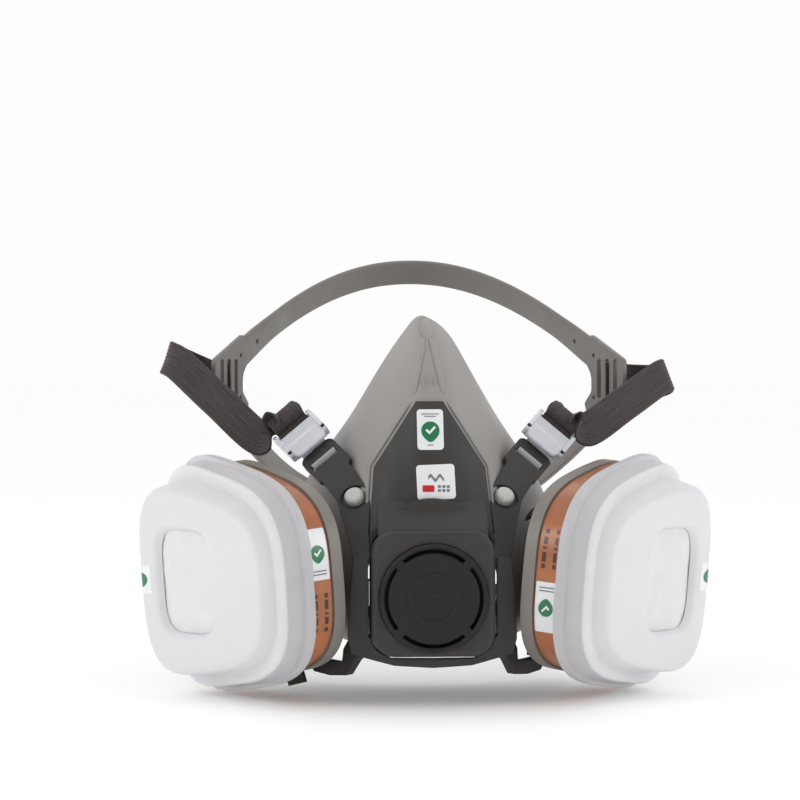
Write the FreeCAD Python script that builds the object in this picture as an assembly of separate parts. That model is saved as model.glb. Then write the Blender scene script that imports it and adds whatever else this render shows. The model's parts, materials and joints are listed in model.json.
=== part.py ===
"""A half-face painter's respirator with twin cartridges, built as separate solids.

Millimetres. +Z is up, the mask faces -Y and the wearer's face lies towards +Y. The origin is the
centre of the face opening. "left" is -X, which is the left side when the mask is seen from the front.
Cartridge pieces are drawn once in a port frame: local x towards the front of the mask, local z out
along the port axis, and both sides carry the same pieces, one of them the other way up.
Exhalation valve pieces are drawn with local z pointing forwards and local y up.
"""
import FreeCAD, Part
import math
import os

V = FreeCAD.Vector
UP = V(0, 0, 1)
SIDES = {"left": -1, "right": 1}

# ---- driving dimensions -------------------------------------------------------------------
GAP = 0.05                      # running clearance between pieces that move on each other
WALL = 2.4                      # elastomer wall of the facepiece
SHELL_T = 2.6                   # hard front plate
SEAL_THICK = 2.2                # in-turned sealing flange
FACE_RADIUS = 62.0              # curve of the cheeks that the rear rim follows
FACE_CENTRE_Y = 74.0
FACE_TILT = 6.0                 # the rim leans back towards the chin
SECTION_FRONT = -36.0            # depth of the facepiece's flat front end

VALVE_Z = -30.0                 # exhalation valve axis
HOUSING_W = 41.2
HOUSING_TOP, HOUSING_BOTTOM = -7.5, -49.6
HOUSING_FRONT, HOUSING_BACK = 49.0, 33.5         # distances in front of the origin
VALVE_BORE = 18.3

PORT_X, PORT_Y, PORT_Z = 46.0, -11.0, -23.0
PORT_YAW, PORT_DROP = 58.0, 5.0  # the port axis turns outwards and dips
PORT_TUBE_R, PORT_FLANGE_R, PORT_LIP_R = 17.0, 26.0, 19.5
NECK_R = 14.8                    # port neck that the cartridge pushes on to
LUG_R, LUG_COUNT, LUG_SPAN = 16.8, 3, 34.0
UNLOCK = 45.0

CART_A, CART_B, CART_TAPER, CART_POWER = 39.0, 36.5, 0.17, 3.5   # cartridge outline
CUP_WALL = 1.6
CUP_BACK, CUP_FRONT = 4.0, 22.0  # along the port axis
LABEL_BACK, LABEL_FRONT = 9.2, 17.8
CAP_BACK, CAP_STEP, CAP_FRONT, CAP_TOP = 18.2, 21.6, 29.0, 38.5
CAP_TILT = 0.13                  # the cap's face drops this much per mm towards the front
WINDOW_X = -8.0                  # the retainer's window sits towards the back
WINDOW_W, WINDOW_H = 30.0, 37.0
PAD_TOP = 36.6                   # crown of the filter pad, just under the window

STRAP_W, STRAP_T = 12.5, 1.3

ARM_RADIUS, ARM_TILT, ARM_Y = 90.0, 40.0, 86.5   # tilted cylinder that the yoke arms lie on
YOKE_T = 2.6
YOKE_SPLIT_Z = -18.0
STUD_X, STUD_Z = 25.6, 2.4
STUD_SHANK_R, STUD_HEAD_R = 2.1, 3.4
BAR_X, BAR_Z = 35.6, 14.9        # middle of the slot in the yoke's upper tab
SLOT_ANGLE = 40.0                # the slot leans up towards the middle

CRADLE_X, CRADLE_Y, CRADLE_Z = 70.0, 45.0, 46.0  # front ends of the head cradle
CRADLE_TOP_Y, CRADLE_TOP_Z = 105.0, 83.0
CRADLE_LOW_Y, CRADLE_LOW_Z = 112.0, -9.0
BAND_W, BAND_T = 10.0, 2.0
PLATE_Z = 42.0                   # middle of the temple plates
LOW_POWER = 3.2                  # how square the lower band's curve is
SLOT_MID = -0.6                  # the middle ladder slot, which the strap is threaded through
BAR_Y = -4.05                    # middle of the tab's bar, from the middle of its slot
TAB_W, TAB_END = 14.0, -6.5      # the tab round the slot, and where it ends beyond the bar
BUCKLE_BORE, BUCKLE_HOOK = 3.2, 4.6
CLASP_Y = 114.0


# ---- helpers ------------------------------------------------------------------------------
def save(name, shape):
    shape.exportStep(f"parts/{name}.step")


def box(x0, x1, y0, y1, z0, z1):
    return Part.makeBox(x1 - x0, y1 - y0, z1 - z0, V(x0, y0, z0))


def disc(radius, z0, z1):
    return Part.makeCylinder(radius, z1 - z0, V(0, 0, z0))


def tube(r_out, r_in, z0, z1):
    return disc(r_out, z0, z1).cut(disc(r_in, z0 - 1, z1 + 1))


def fuse(shapes):
    whole = shapes[0]
    for shape in shapes[1:]:
        whole = whole.fuse(shape)
    return whole.removeSplitter()


def cut_all(shape, tools):
    for tool in tools:
        shape = shape.cut(tool)
    return shape


def biggest(shape):
    return max(shape.Solids, key=lambda solid: solid.Volume)


def mirror_x(shape):
    return shape.mirror(V(0, 0, 0), V(1, 0, 0))


def spun(shape, angle):
    turned = shape.copy()
    turned.rotate(V(0, 0, 0), UP, angle)
    return turned


def basis(origin, x_axis, y_axis, z_axis):
    return FreeCAD.Placement(FreeCAD.Matrix(
        x_axis.x, y_axis.x, z_axis.x, origin.x,
        x_axis.y, y_axis.y, z_axis.y, origin.y,
        x_axis.z, y_axis.z, z_axis.z, origin.z,
        0, 0, 0, 1))


def placed(shape, placement):
    moved = shape.copy()
    moved.Placement = placement.multiply(moved.Placement)
    return moved


def port_axis(side):
    yaw, drop = math.radians(PORT_YAW), math.radians(PORT_DROP)
    return V(side * math.sin(yaw) * math.cos(drop), -math.cos(yaw) * math.cos(drop), -math.sin(drop))


def port_frame(side):
    """Local z out along the port axis, local x to the front, local y up (left) or down (right)."""
    n = port_axis(side)
    up = (UP - n * n.z).normalize()
    y_axis = up * -side
    return basis(V(side * PORT_X, PORT_Y, PORT_Z), y_axis.cross(n), y_axis, n)


def valve_frame():
    """Local z forwards along the exhalation valve axis, local x to the right, local y up."""
    return basis(V(0, 0, VALVE_Z), V(1, 0, 0), V(0, 0, 1), V(0, -1, 0))


def spline_wire(points):
    curve = Part.BSplineCurve()
    curve.interpolate(points, PeriodicFlag=True)
    return Part.Wire(curve.toShape())


def prism_y(points, y0, y1):
    """Straight-sided outline of (x, z) points, from y0 back to y1."""
    corners = [V(x, y0, z) for x, z in points]
    return Part.Face(Part.makePolygon(corners + corners[:1])).extrude(V(0, y1 - y0, 0))


def rounded_box(w, h, radius, z0, z1, centre=(0, 0)):
    x, y = centre
    block = box(x - w / 2, x + w / 2, y - h / 2, y + h / 2, z0, z1)
    return block.makeFillet(radius, upright_edges(block))


def upright_edges(block):
    return [e for e in block.Edges if abs(e.Vertexes[0].Point.z - e.Vertexes[-1].Point.z) > 0.5]


def edges_at(shape, z):
    return [e for e in shape.Edges if abs(e.BoundBox.ZMin - z) < 0.01 and abs(e.BoundBox.ZMax - z) < 0.01]


# ---- facepiece ----------------------------------------------------------------------------
# half outlines of the elastomer from top to bottom, (x, z), at each depth
SECTIONS = {
    -36.0: [(0, 0), (8, -2), (15, -7), (21, -14), (24.5, -24), (23.5, -34), (16, -42), (0, -44)],
    -22.0: [(0, 38), (6, 33), (12.5, 23), (21.5, 7), (29.5, -7), (34, -21), (31, -37), (0, -49)],
    -10.0: [(0, 54), (6, 49.5), (12.5, 38), (24, 18), (36, -2), (42, -19), (37, -39), (0, -51.5)],
    4.0: [(0, 64), (6.5, 59.5), (13.5, 48), (25, 27), (39.5, 4), (46.5, -17), (41, -40), (0, -53)],
    34.0: [(0, 66), (7, 61), (14, 49.5), (26, 28.5), (40.5, 5), (48, -17), (42, -41), (0, -54)],
}


def section_wire(y, half, inset):
    ring = half + [(-x, z) for x, z in reversed(half[1:-1])]
    count = len(ring)
    points = []
    for i, (x, z) in enumerate(ring):
        before, after = ring[i - 1], ring[(i + 1) % count]
        tangent = V(after[0] - before[0], 0, after[1] - before[1]).normalize()
        inward = V(tangent.z, 0, -tangent.x)
        points.append(V(x, y, z) + inward * inset)
    return spline_wire(points)


def facepiece_solid(inset):
    wires = [section_wire(y, half, inset) for y, half in SECTIONS.items()]
    return Part.makeLoft(wires, True)


def face_opening():
    """The hole that the wearer's nose and mouth fill: the outline drawn in by a fifth."""
    wires = []
    for y in (-5.0, 15.0, 50.0):
        half = [(0.74 * x, 0.80 * z - 2) for x, z in SECTIONS[34.0]]
        wires.append(section_wire(y, half, 0))
    return Part.makeLoft(wires, True)


def face_cylinder(radius):
    """The wearer's face: an upright cylinder that leans back."""
    reach = 240.0
    tilt = math.radians(FACE_TILT)
    axis = V(0, -math.sin(tilt), math.cos(tilt))
    return Part.makeCylinder(radius, reach, V(0, FACE_CENTRE_Y, 0) - axis * reach / 2, axis)


def face_seal():
    block = facepiece_solid(0).cut(face_cylinder(FACE_RADIUS))
    hollow = facepiece_solid(WALL).cut(face_cylinder(FACE_RADIUS + SEAL_THICK))
    seal = block.cut(hollow).cut(face_opening())
    socket = fuse([disc(PORT_TUBE_R + 0.1, -22, 6), disc(PORT_FLANGE_R + 0.2, 0.1, 6),
                   disc(PORT_LIP_R + 0.2, -30, -8.9)])
    stud_hole = disc(STUD_SHANK_R + 0.5, -12, 2).fuse(disc(STUD_HEAD_R + 0.3, -1.4, 2))
    tools = [placed(stud_hole, stud_frame()), mirror_x(placed(stud_hole, stud_frame()))]
    for side in SIDES.values():
        tools.append(placed(socket, port_frame(side)))
    return biggest(cut_all(seal, tools))


# ---- front shell and exhalation valve -----------------------------------------------------
SEAT_BACK = HOUSING_FRONT - 7.5
PLATE = [(4.6, 35), (19, 12.5), (20.8, -8), (20.8, -20), (14, -30)]


def housing_block(grow, z0, z1):
    height = HOUSING_TOP - HOUSING_BOTTOM + 2 * grow
    middle = (HOUSING_TOP + HOUSING_BOTTOM) / 2 - VALVE_Z
    return rounded_box(HOUSING_W + 2 * grow, height, 8.0, z0, z1, (0, middle))


def plate_outline(grow):
    half = [(x + grow, z) for x, z in PLATE]
    return half + [(-x, z) for x, z in reversed(half)]


def front_cap(grow, front):
    """Flat lid of the facepiece's nose end, standing off it by the running clearance."""
    face = Part.Face(section_wire(SECTION_FRONT, SECTIONS[SECTION_FRONT], -SHELL_T - grow))
    face.translate(V(0, -GAP, 0))
    width = 20.8 + grow
    return face.extrude(V(0, -front, 0)).common(box(-width, width, -60, 0, -60, 20))


def shoulder():
    """Sloping top of the exhalation housing, running up into the plate."""
    profile = [(-30, -16), (-HOUSING_FRONT + 2.0, -16), (-HOUSING_FRONT + 2.0, HOUSING_TOP - 2.0),
               (-HOUSING_FRONT + 4.0, HOUSING_TOP + 0.4), (-38.2, -1.0), (-34.0, 2.4), (-28, 2.4)]
    corners = [V(-20, y, z) for y, z in profile]
    block = Part.Face(Part.makePolygon(corners + corners[:1])).extrude(V(40, 0, 0))
    half = [(16.0, 7.0), (18.2, -2.0), (18.2, -17.0)]
    sides = prism_y(half + [(-x, z) for x, z in reversed(half)], -60, -20)
    return block.common(sides)


def front_shell():
    """Centre plate that hugs the facepiece, running down into the exhalation housing."""
    skin = facepiece_solid(-SHELL_T).cut(facepiece_solid(0))
    plate = biggest(prism_y(plate_outline(0), -60, -4).common(skin))
    housing = housing_block(0, HOUSING_BACK, HOUSING_FRONT)
    housing = housing.makeFillet(2.0, edges_at(housing, HOUSING_FRONT))
    collar = disc(VALVE_BORE - 0.5, HOUSING_BACK - 4.5, HOUSING_BACK + 1)
    housing = housing.fuse(collar)
    housing = placed(housing, valve_frame())
    shell = plate.fuse([housing, front_cap(0, SHELL_T), shoulder()])
    bore = disc(VALVE_BORE, SEAT_BACK, 60).fuse(disc(15.5, 20, 60))
    bored = shell.cut(placed(bore, valve_frame()))
    rim = placed(disc(15.5 + 3, 20, -SECTION_FRONT - 0.01), valve_frame())
    return biggest(bored.cut(facepiece_solid(0)).cut(rim.common(facepiece_solid(-1))))


def spokes(r_in, r_out, width, z0, z1, count, start):
    arm = box(r_in, r_out, -width / 2, width / 2, z0, z1)
    return [spun(arm, start + 360.0 * i / count) for i in range(count)]


def valve_seat():
    z0, z1 = SEAT_BACK, SEAT_BACK + 1.4
    ring = tube(VALVE_BORE - GAP, 13.0, z0, z1)
    arms = spokes(2.0, 13.6, 1.6, z0, z1, 4, 0)
    post = [disc(2.6, z0, z1), disc(1.2, z1, z1 + 2.8), disc(2.0, z1 + 2.8, z1 + 3.6)]
    return fuse([ring] + post + arms)


def valve_flap():
    z0 = SEAT_BACK + 1.4 + GAP
    return disc(14.6, z0, z0 + 0.7).cut(disc(1.3, z0 - 1, z0 + 2))


def valve_cover():
    """Snap-in cover: a rim, and a disc held in it by four spokes, with air gaps between."""
    front = HOUSING_FRONT + 2.0
    rim = tube(VALVE_BORE - 0.1, 16.4, HOUSING_FRONT - 3.6, front)
    rim = rim.makeChamfer(0.6, edges_at(rim, front))
    face = disc(15.3, front - 2.0, front - 0.4)
    face = face.makeFillet(0.6, edges_at(face, front - 0.4))
    motif = tube(8.6, 7.4, front - 0.6, front).fuse(disc(2.2, front - 0.6, front))
    arms = spokes(14.4, 17.0, 3.2, front - 2.6, front - 0.5, 4, 45)
    return fuse([rim, face, motif] + arms)


# ---- yoke ---------------------------------------------------------------------------------
ARM = [(20.9, -19), (20.4, 1), (22.4, 7), (31, 18.8), (34.2, 22.2), (37.4, 21.9), (42.4, 17.6),
       (42.2, 14.0), (31.6, 1), (27.6, -12.6), (26.4, -19)]
LOWER = [(21.6, -17), (21.6, -43), (14, -50.4), (0, -50.4), (0, -53.4), (13, -52.7), (27, -49.2),
         (28.4, -44), (27.8, -30), (26.4, -17)]


def arm_sheet(thick, lift):
    """Part of the tilted cylinder that the arms lie on."""
    tilt = math.radians(ARM_TILT)
    axis = V(0, math.sin(tilt), math.cos(tilt))
    start = V(0, ARM_Y, 0) - axis * 200
    outer = Part.makeCylinder(ARM_RADIUS + lift, 400, start, axis)
    return outer.cut(Part.makeCylinder(ARM_RADIUS + lift - thick, 400, start, axis))


def lower_sheet():
    """Below the split the yoke stands upright."""
    tilt = math.radians(ARM_TILT)
    front = ARM_Y + YOKE_SPLIT_Z * math.tan(tilt) - ARM_RADIUS / math.cos(tilt)
    centre = V(0, front + ARM_RADIUS, -60)
    outer = Part.makeCylinder(ARM_RADIUS, 80, centre, UP)
    return outer.cut(Part.makeCylinder(ARM_RADIUS - YOKE_T - 1.0, 80, centre, UP))


def arm_point(x, z):
    """Point on the front of the arm's sheet, and its outward normal."""
    tilt = math.radians(ARM_TILT)
    axis = V(0, math.sin(tilt), math.cos(tilt))
    drop = math.sqrt(ARM_RADIUS ** 2 - x ** 2)
    y = ARM_Y + z * math.tan(tilt) - drop / math.cos(tilt)
    offset = V(x, y - ARM_Y, z)
    normal = (offset - axis * offset.dot(axis)).normalize()
    return V(x, y, z), normal


def bar_frame():
    """Frame of the right tab's slot: local x along the slot, local z out of the tab."""
    point, normal = arm_point(BAR_X, BAR_Z)
    lean = math.radians(SLOT_ANGLE)
    slope = (math.cos(lean) * normal.x - math.sin(lean) * normal.z) / normal.y
    along = V(-math.cos(lean), slope, math.sin(lean)).normalize()
    return basis(point, along, normal.cross(along), normal)


def stud_frame():
    point, normal = arm_point(STUD_X, STUD_Z)
    along = (V(1, 0, 0) - normal * normal.x).normalize()
    return basis(point, along, normal.cross(along), normal)


# J-shaped tab in the port frame: (towards the front, up), behind the cartridge
J_TAB = [(38, -20), (29, -21.5), (24.5, -26), (23, -31), (7.0, -31), (6.6, -18), (1.4, -18),
         (0.6, -32), (5, -35.6), (15, -36), (25, -35), (31, -29.6), (38, -25)]
J_LEG = (4.0, -24.4, -3.2)       # middle of its free leg, which the neck strap's loop drops over


def j_tab():
    """The right side's local y points down, so the outline is turned over."""
    corners = [V(x, -y, -4.6) for x, y in J_TAB]
    tab = Part.Face(Part.makePolygon(corners + corners[:1])).extrude(V(0, 0, 2.8))
    return placed(tab, port_frame(1))


def yoke_half():
    sheet = arm_sheet(YOKE_T, 0)
    arm = prism_y(ARM, -70, 30).common(sheet)
    beyond = box(-20, 20, -30, 0, -8, 8)
    tab = rounded_box(TAB_W, 8.0 - TAB_END, 2.5, -8, 8, (0, (8.0 + TAB_END) / 2))
    slot = box(-5.4, 5.4, -1.6, 1.6, -8, 8)
    arm = arm.cut(placed(beyond, bar_frame())).fuse(placed(tab, bar_frame()).common(sheet))
    arm = arm.cut(placed(slot, bar_frame()))
    recess = disc(5.0, -1.0, 6).fuse(disc(2.2, -9, 6))
    arm = arm.cut(placed(recess, stud_frame()))
    lower = prism_y(LOWER, -70, 0).common(lower_sheet())
    return biggest(arm).fuse([biggest(lower), j_tab()])


def yoke():
    half = yoke_half()
    whole = half.fuse(mirror_x(half))
    keep_out = placed(housing_block(0.4, 20, 60), valve_frame())
    plate_room = prism_y(plate_outline(0.4), -60, -4).common(facepiece_solid(-SHELL_T - 0.2))
    return biggest(cut_all(whole, [keep_out, plate_room, facepiece_solid(-0.2), front_cap(0.2, 5)]))


def stud():
    shank = disc(STUD_SHANK_R, -3.6, 0.2)
    head = disc(STUD_HEAD_R, -0.95, 1.9)
    head = head.makeFillet(1.4, edges_at(head, 1.9))
    return placed(shank.fuse(head), stud_frame())


# ---- cartridge outline --------------------------------------------------------------------
def cart_wire(grow, z, tilt=0.0):
    """Rounded outline of the cartridge: a superellipse that is lower at the front."""
    a, b = CART_A + grow, CART_B + grow
    points = []
    count = 36
    for i in range(count):
        t = 2 * math.pi * (i + 0.5) / count
        c, s = math.cos(t), math.sin(t)
        x = a * math.copysign(abs(c) ** (2 / CART_POWER), c)
        y = (b - CART_TAPER * x) * math.copysign(abs(s) ** (2 / CART_POWER), s)
        points.append(V(x, y, z - tilt * x))
    return spline_wire(points)


def cart_block(grow, z0, z1):
    return Part.Face(cart_wire(grow, z0)).extrude(V(0, 0, z1 - z0))


def cart_taper(grow0, z0, grow1, z1, tilt=0.0):
    return Part.makeLoft([cart_wire(grow0, z0), cart_wire(grow1, z1, tilt)], True)


# ---- port and inhalation valve ------------------------------------------------------------
def port():
    """Bayonet port clamped through the cheek, with a spoked seat for the inhalation valve."""
    flange = disc(PORT_FLANGE_R, 0.2, 2.8)
    barrel = tube(PORT_TUBE_R, 13.4, -9.0, 2.8)
    inner_lip = tube(PORT_LIP_R, 13.4, -10.6, -9.0)
    neck = tube(NECK_R, 12.4, 2.6, 8.0)
    lug = tube(LUG_R, NECK_R - 1, 6.4, 8.0).common(wedge(LUG_R + 1, LUG_SPAN, 6, 9))
    lugs = [spun(lug, 360.0 * i / LUG_COUNT) for i in range(LUG_COUNT)]
    seat = fuse(spokes(1.5, 14.0, 1.5, -6.4, -5.0, 5, 0))
    hub = disc(2.6, -6.4, -5.0).fuse(disc(1.1, -9.2, -6.4)).fuse(disc(1.9, -10.0, -9.2))
    body = flange.cut(disc(12.4, 0, 4)).fuse([barrel, inner_lip, neck, seat, hub] + lugs)
    return biggest(body.removeSplitter())


def wedge(radius, span, z0, z1):
    half = math.radians(span / 2)
    reach = radius * 1.6
    corners = [V(0, 0, z0), V(reach * math.cos(-half), reach * math.sin(-half), z0),
               V(reach * math.cos(half), reach * math.sin(half), z0)]
    return Part.Face(Part.makePolygon(corners + corners[:1])).extrude(V(0, 0, z1 - z0))


def gasket():
    ring = tube(19.0, NECK_R + 0.1, 2.85, 3.95)
    return ring


def inhale_flap():
    return disc(12.6, -7.2, -6.45).cut(disc(1.2, -8, -6))


def cartridge_socket():
    """Bayonet ring in the back of the cartridge: the port's lugs turn in behind its shoulder."""
    ring = tube(21.0, LUG_R + 0.3, CUP_BACK, 10.0)
    shoulder = tube(LUG_R + 1, NECK_R + 0.15, CUP_BACK, 6.3)
    notch = tube(LUG_R + 0.3, NECK_R - 1, 3, 8).common(wedge(LUG_R + 1, LUG_SPAN + 8, 3, 8))
    notches = [spun(notch, 360.0 * i / LUG_COUNT - UNLOCK) for i in range(LUG_COUNT)]
    lid = tube(LUG_R + 1, 11.0, 8.6, 10.0)
    return biggest(cut_all(ring.fuse([shoulder, lid]), notches))


def cartridge_housing():
    outer = cart_block(-2.2, CUP_BACK, CUP_FRONT).fuse(cart_block(-1.0, CUP_BACK + 0.6, LABEL_BACK - 0.3))
    inner = cart_block(-2.2 - CUP_WALL, CUP_BACK + 2.0, CUP_FRONT + 1)
    return biggest(outer.cut(inner).cut(disc(21.0 + GAP, 0, 12)))


def carbon_bed():
    return cart_block(-4.1, CUP_BACK + 2.1, 18.6).cut(disc(21.2, 0, 10.1))


def scrim():
    return cart_block(-4.1, 18.7, 19.3)


def cartridge_lid():
    lid = cart_block(-2.2 - CUP_WALL - GAP, 19.4, 21.0)
    holes = []
    pitch = 6.4
    for row in range(-4, 5):
        for col in range(-4, 5):
            x, y = col * pitch, row * pitch
            if abs(y) < 27 - 0.2 * x and abs(x) < 27:
                holes.append(disc(1.9, 19, 22).translated(V(x, y, 0)))
    return lid.cut(Part.makeCompound(holes))


def label():
    return cart_block(-1.85, LABEL_BACK, LABEL_FRONT).cut(cart_block(-2.2, LABEL_BACK - 1, LABEL_FRONT + 1))


def retainer():
    """Push-on cap: a flange, a side wall and a raised, tilted plateau with an open window."""
    flange = cart_block(2.2, CAP_BACK, CAP_STEP)
    wall = cart_taper(0.4, CAP_STEP, -0.6, CAP_FRONT)
    plateau = cart_taper(-4.4, CAP_FRONT, -6.6, CAP_TOP, CAP_TILT)
    hollow_rim = cart_block(-2.1, CAP_BACK - 1, 22.4)
    hollow_wall = cart_taper(-1.4, 22.4, -2.2, CAP_FRONT - 1.4)
    hollow_top = cart_taper(-6.0, CAP_FRONT - 1.4, -8.2, CAP_TOP - 1.4, CAP_TILT)
    window = rounded_box(WINDOW_W, WINDOW_H, 6.0, CAP_TOP - 6, CAP_TOP + 6, (WINDOW_X, 0))
    body = fuse([flange, wall, plateau])
    return biggest(cut_all(body, [hollow_rim, hollow_wall, hollow_top, window]))


def filter_pad():
    """Folded-edge particulate filter with a raised middle under the window."""
    base = cart_taper(-2.4, 22.5, -2.9, 27.4)
    dome = rounded_box(WINDOW_W + 4, WINDOW_H + 5, 8.0, 27.3, PAD_TOP + 6, (WINDOW_X, 0))
    slope = V(1, 0, -CAP_TILT).normalize()
    roof = basis(V(0, 0, PAD_TOP), slope, V(0, 1, 0), slope.cross(V(0, 1, 0)))
    above = placed(box(-60, 60, -60, 60, 0, 20), roof)
    return base.fuse(dome.cut(above)).removeSplitter()


# ---- head harness -------------------------------------------------------------------------
def buckle():
    """Clear buckle in the slot's frame: a hook round the tab's bar, a ladder plate and a cover."""
    hook = tube(BUCKLE_HOOK, BUCKLE_BORE, -5.0, 5.0)
    hook = hook.cut(wedge(BUCKLE_HOOK, 90, -7, 7))
    gap = math.radians(75)       # the way into the hook, up from the bar
    gap_x, gap_y = V(0, math.cos(gap), math.sin(gap)), V(0, -math.sin(gap), math.cos(gap))
    hook = placed(hook, basis(V(0, BAR_Y, -YOKE_T / 2), gap_x, gap_y, V(1, 0, 0)))
    near = BAR_Y - BUCKLE_BORE - 0.5
    plate = box(-8.0, 8.0, -21.0, near, -0.6, 1.6)
    plate = plate.makeFillet(1.8, upright_edges(plate))
    windows = [box(-6.5, 6.5, y, y + 2.6, -4, 6) for y in (-19.0, -13.6)]
    plate = cut_all(plate, windows)
    rails = [box(x, x + 1.4, -20.0, near - 0.1, 0, 3.4) for x in (-8.0, 6.6)]
    cover = box(-6.8, 6.8, -16.6, near - 0.1, 2.0, 3.2).fuse(box(-6.0, 6.0, near - 0.2, -5.4, 2.0, 3.2))
    return biggest(plate.fuse(rails + [cover, hook]).removeSplitter())


def strip(stations, thick, width):
    """Flat band through stations of (centre, width direction, run direction)."""
    wires = []
    for centre, across, run in stations:
        run = run.normalize()
        across = (across - run * across.dot(run)).normalize()
        a, b = across * (width / 2), run.cross(across) * (thick / 2)
        corners = [centre + a + b, centre - a + b, centre - a - b, centre + a - b]
        wires.append(Part.makePolygon(corners + corners[:1]))
    return Part.makeLoft(wires, True, True)


def run_strip(route, thick, width):
    """Band through (centre, width direction) pairs; each section squares up to its neighbours."""
    stations = []
    last = len(route) - 1
    for i, (centre, across) in enumerate(route):
        before, after = route[max(i - 1, 0)][0], route[min(i + 1, last)][0]
        stations.append((centre, across, after - before))
    return strip(stations, thick, width)


def harness_arch(y0, z0, y1, z1, power):
    """Band of the cradle: from both temples back to the middle, in one leaning plane."""
    count = 14
    lean = V(0, y1 - y0, z1 - z0)
    across = V(1, 0, 0).cross(lean)
    route = []
    for i in range(count + 1):
        s = -1 + 2.0 * i / count
        centre = V(CRADLE_X * s, y0, z0) + lean * (1 - abs(s) ** power)
        route.append((centre, across))
    return run_strip(route, BAND_T, BAND_W)


# right temple plate in its own frame: the top edge runs on into the upper band
TEMPLE_PLATE = [(-6, -13.5), (6, -13.5), (10, -9.5), (10, 3.0), (13.0, 8.5), (9.5, 15.6), (-8.4, 8.4),
                (-10, 6.4), (-10, -9.5)]


def end_plate():
    """Right temple plate of the cradle, with a raised bar across its foot."""
    corners = [V(x, y, -BAND_T / 2) for x, y in TEMPLE_PLATE]
    plate = Part.Face(Part.makePolygon(corners + corners[:1])).extrude(V(0, 0, BAND_T))
    plate = plate.fuse(box(-8.4, 8.4, -12, -10, -BAND_T / 2 - 0.6, BAND_T / 2 + 0.6))
    return placed(plate, plate_frame())


def plate_frame():
    """Local x back along the right temple, local y up, local z outwards."""
    outward = V(0.86, 0.51, 0).normalize()
    return basis(V(CRADLE_X, CRADLE_Y, PLATE_Z), UP.cross(outward), UP, outward)


def cradle():
    top = harness_arch(CRADLE_Y, CRADLE_Z, CRADLE_TOP_Y, CRADLE_TOP_Z, 2.1)
    low = harness_arch(CRADLE_Y, PLATE_Z - 8, CRADLE_LOW_Y, CRADLE_LOW_Z, LOW_POWER)
    plate = end_plate()
    body = top.fuse([low, plate, mirror_x(plate)])
    slot = fuse([rounded_box(2.3, 14.6, 1.0, -9, 9, (SLOT_MID + x, 0)) for x in (-4.8, 0, 4.8)])
    slot = placed(slot, plate_frame())
    return biggest(cut_all(body, [slot, mirror_x(slot)]))


def upper_strap(lift):
    """Right strap: out of the buckle, past the temple plate, and folded back through its slot."""
    frame = bar_frame()
    across = frame.Rotation.multVec(V(1, 0, 0))
    start = frame.multVec(V(0, -17.5, 2.6))
    begin = frame.multVec(V(0, -24.0, 3.5))
    temple = plate_frame()
    lean = V(-0.55, 0.11, 0.83)
    route = [(start, across), (begin, across),
             (V(57, 9, 24 - 0.5 * lift), lean), (V(73, 24, 33 + 0.2 * lift), lean),
             (V(87, 38, 41.5 + 0.9 * lift), lean), (V(91.5, 43, 43.5 + lift), V(-0.4, 0.1, 0.9)),
             (V(91.8, 47.5, 42.5 + 1.17 * lift), V(-0.2, 0, 0.95)),
             (V(88, 49.5, 41 + 1.1 * lift), V(-0.1, 0, 1)), (V(80, 50.5, 41 + 0.5 * lift), UP),
             (temple.multVec(V(SLOT_MID, -0.4, 3)), UP), (temple.multVec(V(SLOT_MID, -0.4, -2.6)), UP)]
    return run_strip(route, STRAP_T, STRAP_W)


def neck_strap():
    """Right neck strap, from a loop over the J-tab's leg to the clasp behind the neck."""
    frame = port_frame(1)
    middle = V(J_LEG[0], -J_LEG[1], J_LEG[2])
    loop = rounded_box(9.4, 6.4, 2.0, -STRAP_W / 2, STRAP_W / 2)
    loop = loop.cut(rounded_box(6.8, 3.8, 0.8, -20, 20))
    loop = placed(placed(loop, basis(middle, V(1, 0, 0), V(0, 0, -1), V(0, 1, 0))), frame)
    outer_run = J_LEG[2] + 2.5
    upright = frame.Rotation.multVec(V(0, -1, 0))
    route = [(frame.multVec(V(J_LEG[0], -J_LEG[1], outer_run)), upright),
             (frame.multVec(V(-5.0, -J_LEG[1], outer_run)), upright),
             (V(54, 12, -46.5), UP), (V(61, 34, -46), UP), (V(61.5, 57, -45.5), UP),
             (V(52, 82, -45), UP), (V(36, 101, -45), UP), (V(18.2, 112.0, -45), UP)]
    return loop.fuse(run_strip(route, STRAP_T, STRAP_W)).removeSplitter()


def clasp_loop():
    """Left half of the neck clasp: a plate with an open-ended pin."""
    plate = box(-17.5, -5.0, CLASP_Y - 1.2, CLASP_Y + 1.2, -52.5, -37.5)
    plate = plate.cut(box(-16.0, -13.4, 90, 130, -51.6, -38.4))
    arm = box(-6, 0.6, CLASP_Y - 1.2, CLASP_Y + 1.2, -40.3, -37.5)
    pin = Part.makeCylinder(1.3, 14.5, V(-0.7, CLASP_Y, -52.5), UP)
    return plate.fuse([arm, pin]).removeSplitter()


def clasp_hook():
    """Right half: a sleeve that slides up the pin, on a plate for the strap."""
    sleeve = Part.makeCylinder(3.6, 9, V(-0.7, CLASP_Y, -50.5), UP)
    plate = box(2.0, 17.5, CLASP_Y - 1.2, CLASP_Y + 1.2, -52.5, -41.5)
    plate = plate.fuse(box(8.0, 17.5, CLASP_Y - 1.2, CLASP_Y + 1.2, -52.5, -37.5))
    plate = plate.cut(box(13.4, 16.0, 90, 130, -51.6, -38.4))
    body = sleeve.fuse(plate)
    return body.cut(Part.makeCylinder(2.2, 20, V(-0.7, CLASP_Y, -56), UP)).removeSplitter()


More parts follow.
